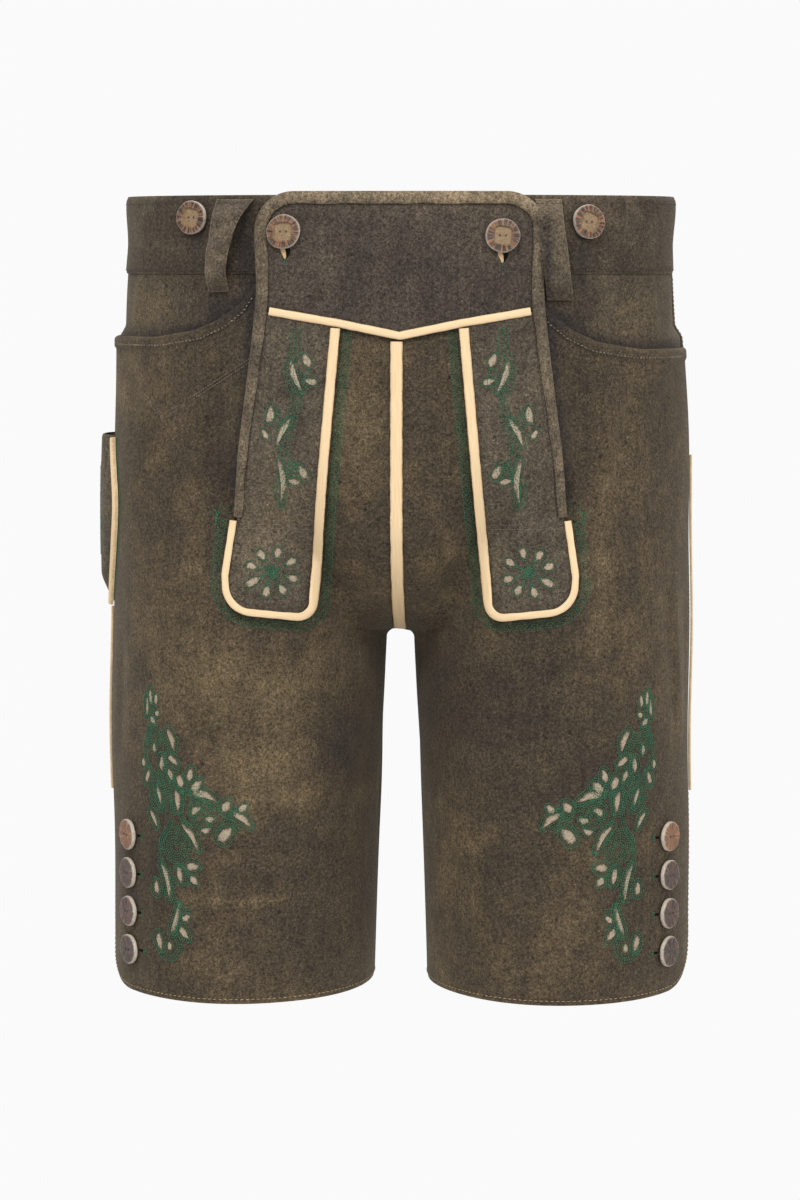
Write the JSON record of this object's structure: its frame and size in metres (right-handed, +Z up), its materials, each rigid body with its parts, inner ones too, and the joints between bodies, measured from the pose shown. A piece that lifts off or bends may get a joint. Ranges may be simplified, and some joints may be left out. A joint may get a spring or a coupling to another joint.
{
  "type": "lederhosen",
  "caption": "Short brown suede breeches with a drop-front flap, cream piping, green embroidery, antler buttons and a knife pocket, filled out as worn.",
  "frame": {"origin": "middle of the waistband, on the garment's centre line, where a waist holds it", "axes": "+Z up towards the waist, -Y the way the wearer faces, +X the wearer's left"},
  "size_m": [0.3783, 0.2705, 0.5042],
  "materials": {
    "brown_suede": "mottled dark brown suede, matt, rubbed paler at the edges",
    "cream_leather": "natural cream leather, matt",
    "antler": "deer antler slices, brown bark face and pale bone rim, satin"
  },
  "bodies": {
    "root": {"back_left": "brown_suede", "back_right": "brown_suede", "band_piping_left": "cream_leather", "band_piping_right": "cream_leather", "belt_loop_back_centre": "brown_suede", "belt_loop_back_left": "brown_suede", "belt_loop_back_right": "brown_suede", "belt_loop_front_left": "brown_suede", "belt_loop_front_right": "brown_suede", "centre_strip": "cream_leather", "flap_band_left": "brown_suede", "flap_band_right": "brown_suede", "flap_binding": "brown_suede", "flap_button_left": "antler", "flap_button_right": "antler", "flap_yoke": "brown_suede", "front_left": "brown_suede", "front_right": "brown_suede", "hem_button_left_1": "antler", "hem_button_left_2": "antler", "hem_button_left_3": "antler", "hem_button_left_4": "antler", "hem_button_right_1": "antler", "hem_button_right_2": "antler", "hem_button_right_3": "antler", "hem_button_right_4": "antler", "hip_left": "brown_suede", "hip_right": "brown_suede", "knife_pocket": "brown_suede", "knife_pocket_piping": "cream_leather", "side_piping_left": "cream_leather", "side_piping_right": "cream_leather", "slit_underlap_left": "brown_suede", "slit_underlap_right": "brown_suede", "waist_button_left": "antler", "waist_button_right": "antler", "waistband_left": "brown_suede", "waistband_right": "brown_suede", "yoke_piping": "cream_leather"}
  },
  "joints": []
}
